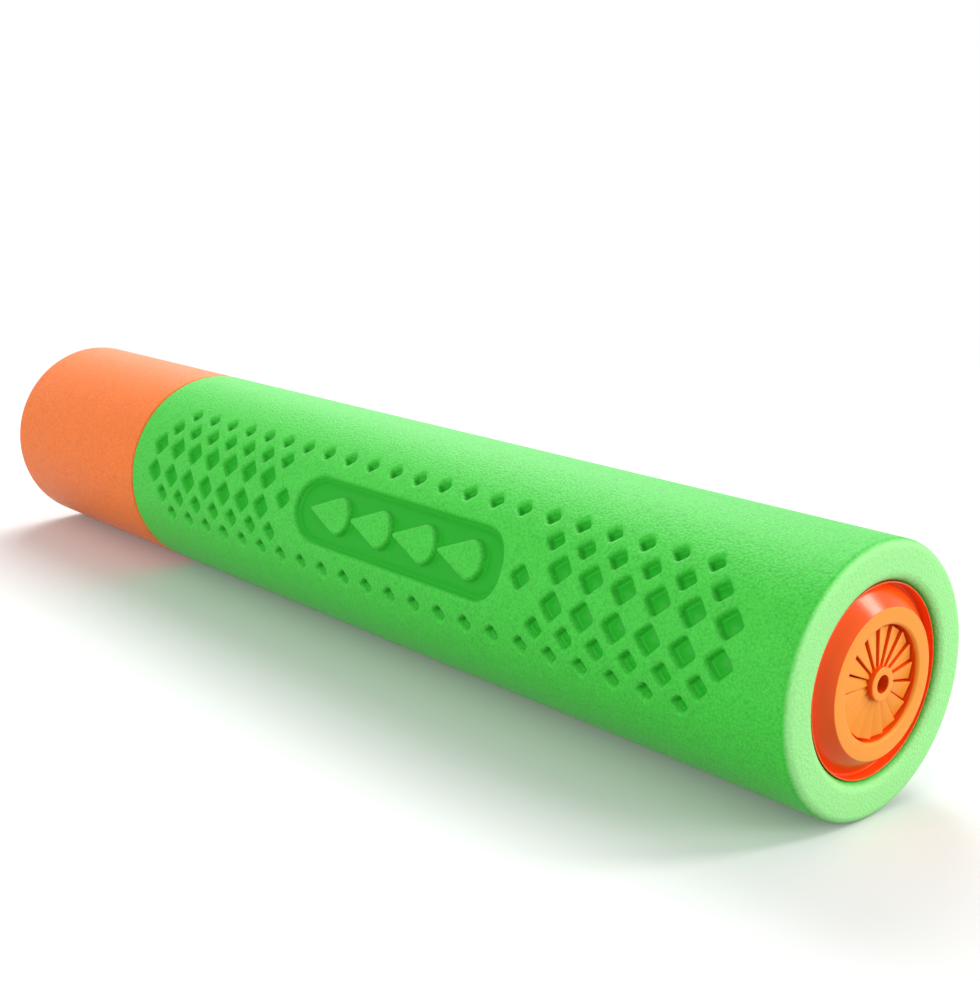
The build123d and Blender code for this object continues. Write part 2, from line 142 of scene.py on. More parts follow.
INLET_R = 3.6 * MM

# Relief pressed into both sides of the sleeve
RELIEF_ANGLE = radians(20.0)
RELIEF_PITCH = 9.7 * MM
RELIEF_START = 18.1 * MM
INNER_ROW = (4.3 * MM, 7.8 * MM, 24)
MIDDLE_ROW = (10.5 * MM, 6.0 * MM, 23)
OUTER_ROW = (15.9 * MM, 5.0 * MM, 22)
FIRST_LEFT_OUT = 6
LAST_LEFT_OUT = 16
POCKET_DEPTH = 1.8 * MM
POCKET_CORNER_R = 0.9 * MM
PANEL_SETBACK = 125.7 * MM
SINGLE_SPREAD = 95.6 * MM
SINGLE_DIAGONAL = 6.8 * MM
PANEL_LENGTH = 83.0 * MM
PANEL_HEIGHT = 19.0 * MM
DROP_COUNT = 4
DROP_PITCH = 17.5 * MM
DROP_R = 5.0 * MM
DROP_TAIL = 10.5 * MM
DROP_TIP_R = 0.6 * MM
COARSE_STEP = radians(3)

# Pressed edge, by distance outside it: a soft lip, a steep wall, then a slightly domed floor
LIP_START = 0.8 * MM
LIP_WIDTH = 1.0 * MM
LIP_SHARE = 0.1
WALL_START = 0.2 * MM
WALL_WIDTH = 0.8 * MM
DOME_START = 0.6 * MM
DOME_WIDTH = 2.0 * MM
DOME_SHARE = 0.15
SKIN_START = 0.2
SKIN_RANGE = 0.7

# Painted light on the sleeve's front end: a paler green stands for the bright light on its face. Where
# that tone starts and is full, back from the front face
LIT_END_START = 1.3 * MM
LIT_END_FULL = 0.4 * MM

# Studio, in metres: a round floor that fades to white away from the squirter
FLOOR_R = 4.0
FLOOR_SIDES = 96
FADE_START = 0.15
FADE_END = 0.6

# Camera: fitted to the outline of the squirter in the photograph, 980 by 981 pixels
PHOTO_HEIGHT = 981
FOCAL_PIXELS = 1533.7
SENSOR = 36.0
CAMERA_FROM_FACE = Vector((167.3, -252.4, 113.6)) * MM
CAMERA_RIGHT = Vector((0.6602, 0.7511, 0.0))
CAMERA_UP = Vector((-0.1826, 0.1605, 0.9700))


def linear(hex_colour):
    """Turn an sRGB hex colour into the linear one that shaders take."""
    values = [int(hex_colour[i : i + 2], 16) / 255 for i in (0, 2, 4)]
    return [v / 12.92 if v <= 0.04045 else ((v + 0.055) / 1.055) ** 2.4 for v in values]


def add_node(tree, kind, inputs=None, **settings):
    """Add a shader node, set its options, and set or link its inputs."""
    made = tree.nodes.new(kind)
    for name, value in settings.items():
        setattr(made, name, value)
    for name, value in (inputs or {}).items():
        if isinstance(value, bpy.types.NodeSocket):
            tree.links.new(value, made.inputs[name])
        else:
            made.inputs[name].default_value = value
    return made


def new_material(name):
    """Start a material with only its output."""
    material = bpy.data.materials.new(name)
    material.use_nodes = True
    material.node_tree.nodes.clear()
    output = material.node_tree.nodes.new("ShaderNodeOutputMaterial")
    return material, material.node_tree, output


def shade_of(colour, factor=1.0, lift=0.0):
    """Give a lighter or darker shade of a colour, with its alpha."""
    return (*[min(1.0, c * factor + lift) for c in colour], 1)


def mix_colours(tree, factor, first, second):
    """Mix two colours, each a value or a socket."""
    return add_node(
        tree,
        "ShaderNodeMix",
        {"Factor": factor, "A": first, "B": second},
        data_type="RGBA",
    ).outputs["Result"]


def seen_directly(tree):
    """Give 1 for camera, glossy and transmitted rays, and 0 for the rays that light things."""
    rays = add_node(tree, "ShaderNodeLightPath")
    direct = add_node(
        tree,
        "ShaderNodeMath",
        {0: rays.outputs["Is Camera Ray"], 1: rays.outputs["Is Glossy Ray"]},
        operation="MAXIMUM",
    ).outputs[0]
    return add_node(
        tree,
        "ShaderNodeMath",
        {0: direct, 1: rays.outputs["Is Transmission Ray"]},
        operation="MAXIMUM",
    ).outputs[0]


def colour_setting(name, description, hex_colour):
    """Describe a colour that the panel shows."""
    return FloatVectorProperty(
        name=name,
        description=description,
        subtype="COLOR",
        size=3,
        min=0,
        max=1,
        default=linear(hex_colour),
    )


class SquirterFoam(bpy.types.PropertyGroup):
    """Sizes and colours of the foam."""

    green: colour_setting("Sleeve green", "Colour of the sleeve's foam", "35c831")
    # Partly the pressed skin's own denser tone and partly painted shade: a darker green deep in the
    # pockets
    green_pressed_with_shade: colour_setting(
        "Pressed green", "Colour of the denser skin in the pressed pockets", "06a80e"
    )
    # Painted light: a paler green for the sleeve's front end, standing for the light that falls on its
    # face
    green_painted_lit_end: colour_setting("End green", "Colour of the sleeve's paler front end", "a2f695")
    orange: colour_setting("Grip orange", "Colour of the grip's foam", "fd7616")
    cell: FloatProperty(
        name="Cell size",
        description="Width of one foam cell on the skin",
        default=0.6 * MM,
        min=0.2 * MM,
        unit="LENGTH",
    )
    grid: FloatProperty(
        name="Relief grid",
        description="Spacing of the sleeve's mesh where the relief is pressed",
        default=0.4 * MM,
        min=0.2 * MM,
        unit="LENGTH",
    )


class SquirterPlastic(bpy.types.PropertyGroup):
    """Sizes and colours of the moulded pieces."""

    # Lit and shaded copies of one orange: the cone colour is painted shade, a deeper red-orange for the
    # cone, rim, recess and the fan's sides and floor; the ring colour is painted light, a lighter orange
    # for the ring, hub and blade tops
    cone: colour_setting("Cone orange", "Colour of the nozzle's polished cone and rim", "fd5a12")
    ring: colour_setting("Ring orange", "Colour of the nozzle's satin ring and fan", "fd9c30")
    white: colour_setting("Pump white", "Colour of the pump's polypropylene", "dededa")
    blades: IntProperty(
        name="Blades",
        description="Number of blades around the outlet",
        default=17,
        min=3,
    )
    rubber: colour_setting("Seal black", "Colour of the gasket and the O-ring", "262626")
    steel: colour_setting("Screw steel", "Colour of the two screws", "c3c3c6")
    edge: FloatProperty(
        name="Edge rounding",
        description="Rounding of the edges of the pump's pieces",
        default=0.2 * MM,
        min=0,
        unit="LENGTH",
    )


class SquirterStage(bpy.types.PropertyGroup):
    """Floor and lamps."""

    floor: colour_setting("Floor", "Colour of the floor", "f4f4f4")
    key_power: FloatProperty(
        name="Key lamp",
        description="Power of the softbox above and behind, in watts",
        default=7.0,
        min=0,
    )
    bounce: FloatProperty(
        name="Floor bounce",
        description="How much of the floor's own tone it throws back on the squirter",
        default=0.33,
        min=0,
        max=1,
    )
    ambient: FloatProperty(
        name="Ambient",
        description="Strength of the even white light from all round",
        default=0.5,
        min=0,
    )


def foam_material(name, colour, pressed, end, cell):
    """Moulded closed-cell foam: a matt pebbled skin, smoother where pressed, darker in the pockets from
    the denser skin's tone and painted shade, and paler at the front end as painted light.
    """
    material, tree, output = new_material(name)
    place = add_node(tree, "ShaderNodeTexCoord").outputs["Object"]
    press = add_node(tree, "ShaderNodeAttribute", attribute_name="pressed").outputs["Fac"]
    cells = add_node(
        tree,
        "ShaderNodeTexVoronoi",
        {"Vector": place, "Scale": 1 / cell, "Smoothness": 0.6, "Randomness": 1.0},
        feature="SMOOTH_F1",
    ).outputs["Distance"]
    grain = add_node(
        tree,
        "ShaderNodeTexNoise",
        {"Vector": place, "Scale": 1.6 / cell, "Detail": 3.0, "Roughness": 0.65, "Distortion": 1.2},
    ).outputs["Fac"]
    mottle = add_node(
        tree,
        "ShaderNodeTexNoise",
        {"Vector": place, "Scale": 0.16 / cell, "Detail": 2.0},
    ).outputs["Fac"]
    height = add_node(
        tree,
        "ShaderNodeMath",
        {0: cells, 1: grain},
        operation="SUBTRACT",
    ).outputs[0]
    tone = add_node(
        tree,
        "ShaderNodeMapRange",
        {"Value": height, "From Min": -0.35, "From Max": 0.45, "To Min": 0.0, "To Max": 1.0},
    ).outputs["Result"]
    speckle = mix_colours(tree, tone, shade_of(colour, 1.12, 0.02), shade_of(colour, 0.82))
    patchiness = add_node(
        tree,
        "ShaderNodeMapRange",
        {"Value": mottle, "From Min": 0.3, "From Max": 0.7, "To Min": 0.97, "To Max": 1.03},
    ).outputs["Result"]
    patch = add_node(
        tree,
        "ShaderNodeHueSaturation",
        {"Color": speckle, "Value": patchiness},
    ).outputs["Color"]
    # Pressed pockets take the pressed colour: partly the denser skin's tone, partly painted shade in the
    # recesses
    side = mix_colours(tree, press, patch, shade_of(pressed))
    # Painted light: the front end is mixed toward the paler end colour, standing for the light on the
    # front face
    along = add_node(tree, "ShaderNodeSeparateXYZ", {"Vector": place}).outputs["X"]
    at_painted_lit_end = add_node(
        tree,
        "ShaderNodeMapRange",
        {
            "Value": along,
            "From Min": SLEEVE_FRONT - LIT_END_START,
            "From Max": SLEEVE_FRONT - LIT_END_FULL,
        },
    ).outputs["Result"]
    painted_lit_end_speckle = mix_colours(tree, tone, shade_of(end, 1.04), shade_of(end, 0.92))
    skin = mix_colours(tree, at_painted_lit_end, side, painted_lit_end_speckle)
    relief = add_node(
        tree,
        "ShaderNodeMapRange",
        {"Value": press, "From Min": 0.0, "From Max": 1.0, "To Min": 0.7, "To Max": 0.15},
    ).outputs["Result"]
    bump = add_node(
        tree,
        "ShaderNodeBump",
        {"Height": height, "Strength": relief, "Distance": 0.25 * cell},
        invert=True,
    ).outputs["Normal"]
    shader = add_node(
        tree,
        "ShaderNodeBsdfPrincipled",
        {
            "Base Color": skin,
            "Roughness": 0.5,
            "IOR": 1.5,
            "Specular IOR Level": 0.3,
            "Sheen Weight": 0.12,
            "Sheen Roughness": 0.4,
            "Normal": bump,
        },
    )
    tree.links.new(shader.outputs[0], output.inputs["Surface"])
    return material


def moulded_material(name, colour, roughness, texture_mm, bump_strength):
    """Moulded plastic or rubber: even colour, with the slight waviness that the tool leaves."""
    material, tree, output = new_material(name)
    place = add_node(tree, "ShaderNodeTexCoord").outputs["Object"]
    flow = add_node(
        tree,
        "ShaderNodeTexNoise",
        {"Vector": place, "Scale": 1 / (texture_mm * MM), "Detail": 3.0, "Roughness": 0.55},
    ).outputs["Fac"]
    shade = mix_colours(tree, flow, shade_of(colour, 0.95), shade_of(colour, 1.05))
    finish = add_node(
        tree,
        "ShaderNodeMapRange",
        {"Value": flow, "To Min": roughness * 0.85, "To Max": roughness * 1.15},
    ).outputs["Result"]
    bump = add_node(
        tree,
        "ShaderNodeBump",
        {"Height": flow, "Strength": bump_strength, "Distance": 0.02 * MM},
    ).outputs["Normal"]
    shader = add_node(
        tree,
        "ShaderNodeBsdfPrincipled",
        {
            "Base Color": shade,
            "Roughness": finish,
            "IOR": 1.5,
            "Specular IOR Level": 0.35,
            "Specular Tint": (1.0, 0.9, 0.75, 1.0),
            "Normal": bump,
        },
    )
    tree.links.new(shader.outputs[0], output.inputs["Surface"])
    return material


def steel_material(name, colour):
    """Turned stainless steel: fine rings left by the tool around the axis."""
    material, tree, output = new_material(name)
    place = add_node(tree, "ShaderNodeTexCoord").outputs["Object"]
    rings = add_node(
        tree,
        "ShaderNodeTexWave",
        {"Vector": place, "Scale": 1 / (2.0 * MM), "Distortion": 0.6, "Detail": 2.0},
        wave_type="BANDS",
        bands_direction="X",
    ).outputs["Fac"]
    finish = add_node(
        tree,
        "ShaderNodeMapRange",
        {"Value": rings, "To Min": 0.24, "To Max": 0.36},
    ).outputs["Result"]
    shader = add_node(
        tree,
        "ShaderNodeBsdfPrincipled",
        {"Base Color": shade_of(colour), "Metallic": 1.0, "Roughness": finish},
    )
    tree.links.new(shader.outputs[0], output.inputs["Surface"])
    return material


def soften_edges(node, width):
    """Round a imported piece's edges a little, as a mould or a lathe leaves them."""
    bevel = node.modifiers.new("moulded_edges", "BEVEL")
    bevel.width = width
    bevel.segments = 2
    bevel.limit_method = "ANGLE"
    bevel.angle_limit = EDGE_ANGLE
    bevel.use_clamp_overlap = True


def rounded(corners, steps=6):
    """Give an outline's points from corners of (x, r, radius), with an arc where there is a radius."""
    points = []
    for i, (x, r, radius) in enumerate(corners):
        here = Vector((x, r))
        if not radius:
            points.append((x, r))
            continue
        back = (Vector(corners[i - 1][:2]) - here).normalized()
        onward = (Vector(corners[(i + 1) % len(corners)][:2]) - here).normalized()
        half_angle = back.angle(onward) / 2
        reach = radius / tan(half_angle)
        centre = here + (back + onward).normalized() * (radius / sin(half_angle))
        start = here + back * reach - centre
        end = here + onward * reach - centre
        for k in range(steps + 1):
            points.append(tuple(centre + start.lerp(end, k / steps).normalized() * radius))
    return points


def turned_mesh(name, x, radius, angles):
    """Build a closed mesh turned round the barrel's axis, from a radius for each row and column."""
    rows, columns = radius.shape
    verts = np.empty((rows, columns, 3))
    verts[:, :, 0] = x[:, None]
    verts[:, :, 1] = -np.cos(angles)[None, :] * radius
    verts[:, :, 2] = AXIS_Z + np.sin(angles)[None, :] * radius
    index = np.arange(rows * columns).reshape(rows, columns)
    below = np.roll(index, -1, axis=0)
    quads = np.stack(
        [index, np.roll(index, -1, axis=1), np.roll(below, -1, axis=1), below],
        axis=2,
    ).reshape(-1, 4)
    mesh = bpy.data.meshes.new(name)
    mesh.from_pydata(verts.reshape(-1, 3).tolist(), [], quads.tolist())
    return mesh


def finish_piece(name, mesh, body, materials, nodes):
    """Make a mesh into a smooth-shaded piece that stands for CAD nodes and rides on their body."""
    tidy = bmesh.new()
    tidy.from_mesh(mesh)
    bmesh.ops.remove_doubles(tidy, verts=tidy.verts, dist=1e-7)
    bmesh.ops.recalc_face_normals(tidy, faces=tidy.faces)
    tidy.to_mesh(mesh)
    tidy.free()
    for material in materials:
        mesh.materials.append(material)
    mesh.shade_smooth()
    piece = bpy.data.objects.new(name, mesh)
    bpy.context.scene.collection.objects.link(piece)
    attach(piece, body)
    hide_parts(*nodes)
    return piece


def lathe(name, corners, columns=192):
    """Turn a closed outline of corners into a mesh."""
    points = np.array(rounded(corners))
    angles = np.arange(columns) * 2 * pi / columns
    radius = np.repeat(points[:, 1][:, None], columns, axis=1)
    return turned_mesh(name, points[:, 0], radius, angles)


def smoothstep(value):
    """Ease from 0 to 1."""
    t = np.clip(value, 0, 1)
    return t * t * (3 - 2 * t)


def pocket_distance(along, around, diagonal):
    """Give the distance outside a lozenge with rounded corners, negative within it."""
    half_side = diagonal / 2**1.5
    corner = min(POCKET_CORNER_R, half_side * 0.6)
    u = np.abs(along + around) / 2**0.5 - (half_side - corner)
    v = np.abs(along - around) / 2**0.5 - (half_side - corner)
    outside = np.hypot(np.maximum(u, 0), np.maximum(v, 0))
    return outside + np.minimum(np.maximum(u, v), 0) - corner


def capsule_distance(along, around, length, height):
    """Give the distance outside a slot with round ends."""
    straight = length / 2 - height / 2
    past = np.maximum(np.abs(along) - straight, 0)
    return np.hypot(past, around) - height / 2


def drop_distance(along, around):
    """Give the distance outside a drop: a round head with a tapered tail to the rear."""
    t = np.clip(-along / DROP_TAIL, 0, 1)
    width = DROP_R + (DROP_TIP_R - DROP_R) * t
    return np.hypot(along + t * DROP_TAIL, around) - width


def relief_depth(x, arc):
    """Give how deep the relief is pressed at stations and distances around from a side's middle line."""
    along = (SLEEVE_FRONT - x)[:, None]
    around = arc[None, :]
    distance = np.full((len(x), len(arc)), 1.0)
    pockets = [
        (PANEL_SETBACK - SINGLE_SPREAD / 2, 0.0, SINGLE_DIAGONAL),
        (PANEL_SETBACK + SINGLE_SPREAD / 2, 0.0, SINGLE_DIAGONAL),
    ]
    for index, (row_arc, diagonal, count) in enumerate((INNER_ROW, MIDDLE_ROW, OUTER_ROW)):
        start = RELIEF_START + index * RELIEF_PITCH / 2
        left_out = range(FIRST_LEFT_OUT, LAST_LEFT_OUT + 1 - index) if index < 2 else ()
        for k in range(count):
            if k not in left_out:
                pockets.append((start + k * RELIEF_PITCH, row_arc, diagonal))
                pockets.append((start + k * RELIEF_PITCH, -row_arc, diagonal))
    for centre, row_arc, diagonal in pockets:
        near = np.abs(along[:, 0] - centre) < diagonal
        distance[near] = np.minimum(
            distance[near],
            pocket_distance(along[near] - centre, around - row_arc, diagonal),
        )
    panel = capsule_distance(along - PANEL_SETBACK, around, PANEL_LENGTH, PANEL_HEIGHT)
    shift = (DROP_TAIL + DROP_TIP_R - DROP_R) / 2
    for k in range(DROP_COUNT):
        centre = PANEL_SETBACK - (k - (DROP_COUNT - 1) / 2) * DROP_PITCH
        forward = -(along - centre) - shift
        panel = np.maximum(panel, -drop_distance(forward, around))
    return np.minimum(distance, panel)


def press_profile(distance):
    """Turn a distance into depth: a soft lip outside the edge, a steep wall and a slightly domed floor."""
    lip = smoothstep((LIP_START - distance) / LIP_WIDTH) * LIP_SHARE
    wall = smoothstep((WALL_START - distance) / WALL_WIDTH) * (1 - LIP_SHARE)
    dome = smoothstep((-distance - DOME_START) / DOME_WIDTH) * DOME_SHARE
    return lip + wall - dome


def sleeve_angles(grid):
    """Give the sleeve's columns: close together over the relief, wider apart elsewhere."""
    reach = OUTER_ROW[0] + OUTER_ROW[1]
    fine = np.arange(-round(reach / grid), round(reach / grid) + 1) * grid / FOAM_R
    gap = pi - 2 * fine[-1]
    coarse_count = int(gap / COARSE_STEP)
    coarse = fine[-1] + gap * np.arange(1, coarse_count) / coarse_count
    half = np.concatenate([fine, coarse])
    return np.concatenate([half, half + pi]) + RELIEF_ANGLE


def build_sleeve(foam):
    """Build the pressed foam sleeve around the barrel."""
    relief_front = SLEEVE_FRONT - RELIEF_START + INNER_ROW[1]
    relief_rear = relief_front - RELIEF_PITCH * INNER_ROW[2] - INNER_ROW[1]
    dense = np.arange(relief_rear, relief_front, foam.grid)
    hole_r = RIM_R + RIM_GAP
    outline = rounded(
        [
            (SLEEVE_REAR, FOAM_R, SEAM_ROUNDING),
            (SLEEVE_FRONT, FOAM_R, FRONT_ROUNDING),
            (SLEEVE_FRONT, hole_r, MOUTH_ROUNDING),
            (RIM_X - FLANGE_DEPTH - GLUE_GAP, hole_r, 0),
            (RIM_X - FLANGE_DEPTH - GLUE_GAP, SKIRT_R + GLUE_GAP, 0),
            (SKIRT_REAR - GLUE_GAP, SKIRT_R + GLUE_GAP, 0),
            (SKIRT_REAR - GLUE_GAP, TUBE_R + GLUE_GAP, 0),
            (TUBE_REAR, TUBE_R + GLUE_GAP, 0),
            (TUBE_REAR, COLLAR_R + GLUE_GAP, 0),
            (SLEEVE_REAR, COLLAR_R + GLUE_GAP, HOLE_ROUNDING),
        ],
        steps=8,
    )
    rear_arc = [p for p in outline if p[1] > COLLAR_R + MM and p[0] < relief_rear]
    rest = [p for p in outline if p not in rear_arc]
    x = np.array([p[0] for p in rear_arc] + list(dense) + [p[0] for p in rest])
    r = np.array([p[1] for p in rear_arc] + [FOAM_R] * len(dense) + [p[1] for p in rest])
    angles = sleeve_angles(foam.grid)
    radius = np.repeat(r[:, None], len(angles), axis=1)
    pressed = np.zeros_like(radius)
    first = len(rear_arc)
    last = first + len(dense)
    for side in (RELIEF_ANGLE, RELIEF_ANGLE + pi):
        turn = (angles - side + pi) % (2 * pi) - pi
        depth = press_profile(relief_depth(x[first:last], turn * FOAM_R))
        pressed[first:last] = np.maximum(pressed[first:last], depth * (np.abs(turn) < pi / 2))
    radius -= pressed * POCKET_DEPTH
    mesh = turned_mesh("foam_sleeve_pressed", x, radius, angles)
    layer = mesh.attributes.new("pressed", "FLOAT", "POINT")
    # The pressed mask sets the denser skin's tone and the painted shade deeper in the pockets
    dense_skin_and_shade = smoothstep((pressed - SKIN_START) / SKIN_RANGE)
    layer.data.foreach_set("value", dense_skin_and_shade.ravel().astype(np.float32))
    material = foam_material(
        "green_polyethylene_foam",
        list(foam.green),
        list(foam.green_pressed_with_shade),
        list(foam.green_painted_lit_end),
        foam.cell,
    )
    piece = finish_piece(
        "sleeve_of_pressed_foam", mesh, "barrel", [material], ["foam_sleeve"]
    )
    return piece


def build_grip(foam):
    """Build the plain foam grip of the handle."""
    mesh = lathe(
        "handle_grip_foam",
        [
            (GRIP_REAR, FOAM_R, REAR_ROUNDING),
            (GRIP_FRONT, FOAM_R, SEAM_ROUNDING),
            (GRIP_FRONT, DISC_R + GLUE_GAP, HOLE_ROUNDING),
            (GRIP_FRONT - DISC_THICKNESS - GLUE_GAP, DISC_R + GLUE_GAP, 0),
            (GRIP_FRONT - DISC_THICKNESS - GLUE_GAP, CORE_R + GLUE_GAP, 0),
            (CORE_REAR, CORE_R + GLUE_GAP, 0),
            (CORE_REAR, END_CAP_R + GLUE_GAP, 0),
            (GRIP_REAR, END_CAP_R + GLUE_GAP, HOLE_ROUNDING),
        ],
    )
    material = foam_material(
        "orange_polyethylene_foam",
        list(foam.orange),
        list(foam.orange),
        list(foam.orange),
        foam.cell,
    )
    piece = finish_piece(
        "grip_of_foam", mesh, "plunger", [material], ["handle_grip"]
    )
    return piece


def build_cap(plastic):
    """Build the nozzle cap: rim, groove, cone, ring and the skirt on the tube."""
    mesh = lathe(
        "nozzle_cap_moulding",
        [
            (RECESS_FLOOR, RING_INNER_R, 0),
            (RING_X, RING_INNER_R, RING_INNER_ROUNDING),
            (RING_X, RING_OUTER_R, RING_OUTER_ROUNDING),
            (RIM_X - GROOVE_DEPTH, GROOVE_R, GROOVE_ROUNDING),
            (RIM_X, RIM_R - RIM_LIP, RIM_EDGE),
            (RIM_X, RIM_R, RIM_EDGE),
            (RIM_X - FLANGE_DEPTH, RIM_R, SKIRT_EDGE),
            (RIM_X - FLANGE_DEPTH, SKIRT_R, 0),
            (SKIRT_REAR, SKIRT_R, SKIRT_EDGE),
            (SKIRT_REAR, SKIRT_INNER_R, SKIRT_EDGE),
            (GASKET_FRONT, SKIRT_INNER_R, 0),
            (GASKET_FRONT, BORE_R, 0),
            (CAP_INSIDE, BORE_R, 0),
            (CAP_INSIDE, STEM_R + GLUE_GAP, 0),
            (RECESS_FLOOR, STEM_R + GLUE_GAP, 0),
        ],
        columns=256,
    )
    # Painted light and shade: the polished material carries the deeper shaded orange, the satin one the
    # lighter lit orange
    shaded_gloss = moulded_material(
        "orange_abs_polished_painted_shade", list(plastic.cone), roughness=0.22, texture_mm=6.0, bump_strength=0.05
    )
    lit_satin = moulded_material(
        "orange_abs_satin_painted_light", list(plastic.ring), roughness=0.38, texture_mm=0.5, bump_strength=0.12
    )
    finish_piece(
        "nozzle_cap_moulded", mesh, "barrel", [shaded_gloss, lit_satin], ["nozzle_cap"]
    )
    # Painted light: the ring's front face and inner rounding take the lighter lit orange; the rest keeps
    # the deeper shaded orange
    for face in mesh.polygons:
        radius = (face.center.yz - Vector((0, AXIS_Z))).length
        if radius < RING_OUTER_R and face.center.x > RING_X - RING_INNER_ROUNDING:
            face.material_index = 1
    return shaded_gloss, lit_satin


def blade_corners(radius, half_pitch):
    """Give a blade's corners across it, (forward, sideways): root, high side, low side, root."""
    high_side = radius * tan(half_pitch)
    low_side = -radius * tan(half_pitch - BLADE_GAP_ANGLE)
    root = FAN_BASE_X - BLADE_ROOT_SINK
    return [
        (root, high_side),
        (BLADE_FRONT, high_side),
        (BLADE_FRONT - BLADE_DROP, low_side),
        (root, low_side),
    ]


def add_blade(work, angle, half_pitch):
    """Add one blade to the fan: a wedge with a slanted top, rounded along its top edges and its tip."""
    outward = Vector((0, cos(angle), sin(angle)))
    sideways = Vector((0, -sin(angle), cos(angle)))
    rings = []
    for radius in (BLADE_ROOT_R, BLADE_TIP_R):
        middle = Vector((0, 0, AXIS_Z)) + outward * radius
        ring = []
        for forward, side in blade_corners(radius, half_pitch):
            ring.append(work.verts.new(middle + sideways * side + Vector((forward, 0, 0))))
        rings.append(ring)
    inner, outer = rings
    work.faces.new(inner)
    work.faces.new(outer[::-1])
    for k in range(4):
        follow = (k + 1) % 4
        work.faces.new([inner[k], outer[k], outer[follow], inner[follow]])
    edges = [
        (inner[1], outer[1]),
        (inner[2], outer[2]),
        (outer[0], outer[1]),
        (outer[1], outer[2]),
        (outer[2], outer[3]),
    ]
    bmesh.ops.bevel(
        work,
        geom=[work.edges.get(edge) for edge in edges],
        offset=BLADE_ROUNDING,
        segments=3,
        profile=0.5,
        affect="EDGES",
    )


def build_fan(plastic, shaded_gloss, lit_satin):
    """Build the fan insert: a base with a hub, and a ring of slanted blades."""
    mesh = lathe(
        "nozzle_fan_moulding",
        [
            (RING_X - ORIFICE_LAND, ORIFICE_R, 0),
            (RING_X, ORIFICE_R, FAN_EDGE),
            (RING_X, HUB_R, 2 * FAN_EDGE),
            (FAN_BASE_X, HUB_R, 2 * FAN_EDGE),
            (FAN_BASE_X, FAN_R, FAN_EDGE),
            (RECESS_FLOOR + GLUE_GAP, FAN_R, 0),
            (RECESS_FLOOR + GLUE_GAP, STEM_R, 0),
            (CAP_INSIDE - GLUE_GAP, STEM_R, 0),
            (CAP_INSIDE - GLUE_GAP, STEM_R + BARB_STEP, 0),
            (BARB_REAR, STEM_R - BARB_STEP, 0),
            (BARB_REAR, INLET_R, 0),
        ],
    )
    work = bmesh.new()
    work.from_mesh(mesh)
    half_pitch = pi / plastic.blades
    for index in range(plastic.blades):
        add_blade(work, BLADE_START_ANGLE + (2 * index + 1) * half_pitch, half_pitch)
    work.normal_update()
    # Painted shade: the blades' side walls and everything behind them take the deeper shaded orange; the
    # front-facing blade tops and hub face keep the lighter lit orange
    for face in work.faces:
        behind = face.calc_center_median().x < BLADE_FRONT - BLADE_DROP - 2 * BLADE_ROUNDING
        face.material_index = 1 if behind or abs(face.normal.x) < BLADE_SIDE_SLOPE else 0
    work.to_mesh(mesh)
    work.free()
    piece = finish_piece(
        "nozzle_fan_moulded", mesh, "barrel", [lit_satin, shaded_gloss], ["nozzle_fan"]
    )
    mesh.set_sharp_from_angle(angle=FAN_SHARP_ANGLE)
    return piece


def build_floor(stage):
    """Build the paper floor, which shows white and throws back only a part of its tone."""
    mesh = bpy.data.meshes.new("studio_floor")
    turns = np.arange(FLOOR_SIDES) * 2 * pi / FLOOR_SIDES
    ring = [(FLOOR_R * cos(a), FLOOR_R * sin(a), 0) for a in turns]
    mesh.from_pydata(ring, [], [list(range(FLOOR_SIDES))])
    floor = bpy.data.objects.new("studio_floor", mesh)
    bpy.context.scene.collection.objects.link(floor)
    material, tree, output = new_material("studio_paper")
    shown = seen_directly(tree)
    tone = mix_colours(tree, shown, shade_of(stage.floor, stage.bounce), shade_of(stage.floor))
    paper = add_node(
        tree,
        "ShaderNodeBsdfPrincipled",
        {"Base Color": tone, "Roughness": 0.9, "Specular IOR Level": 0.1},
    )
    white = add_node(tree, "ShaderNodeEmission", {"Color": (1, 1, 1, 1), "Strength": 1.0})
    place = add_node(tree, "ShaderNodeTexCoord").outputs["Object"]
    away = add_node(tree, "ShaderNodeVectorMath", {0: place}, operation="LENGTH").outputs["Value"]
    fade = add_node(
        tree,
        "ShaderNodeMapRange",
        {"Value": away, "From Min": FADE_START, "From Max": FADE_END},
        interpolation_type="SMOOTHSTEP",
    ).outputs["Result"]
    factor = add_node(tree, "ShaderNodeMath", {0: fade, 1: shown}, operation="MULTIPLY").outputs[0]
    mix = add_node(
        tree,
        "ShaderNodeMixShader",
        {0: factor, 1: paper.outputs[0], 2: white.outputs[0]},
    )
    tree.links.new(mix.outputs[0], output.inputs["Surface"])
    mesh.materials.append(material)


def build_world(stage):
    """Build the world, white to look at and dimmer as a light."""
    world = bpy.data.worlds.new("studio_white")
    bpy.context.scene.world = world
    world.use_nodes = True
    tree = world.node_tree
    tree.nodes.clear()
    shown = seen_directly(tree)
    strength = add_node(
        tree,
        "ShaderNodeMapRange",
        {"Value": shown, "To Min": stage.ambient, "To Max": 1.0},
    ).outputs["Result"]
    background = add_node(
        tree,
        "ShaderNodeBackground",
        {"Color": (1, 1, 1, 1), "Strength": strength},
    )
    output = tree.nodes.new("ShaderNodeOutputWorld")
    tree.links.new(background.outputs[0], output.inputs["Surface"])


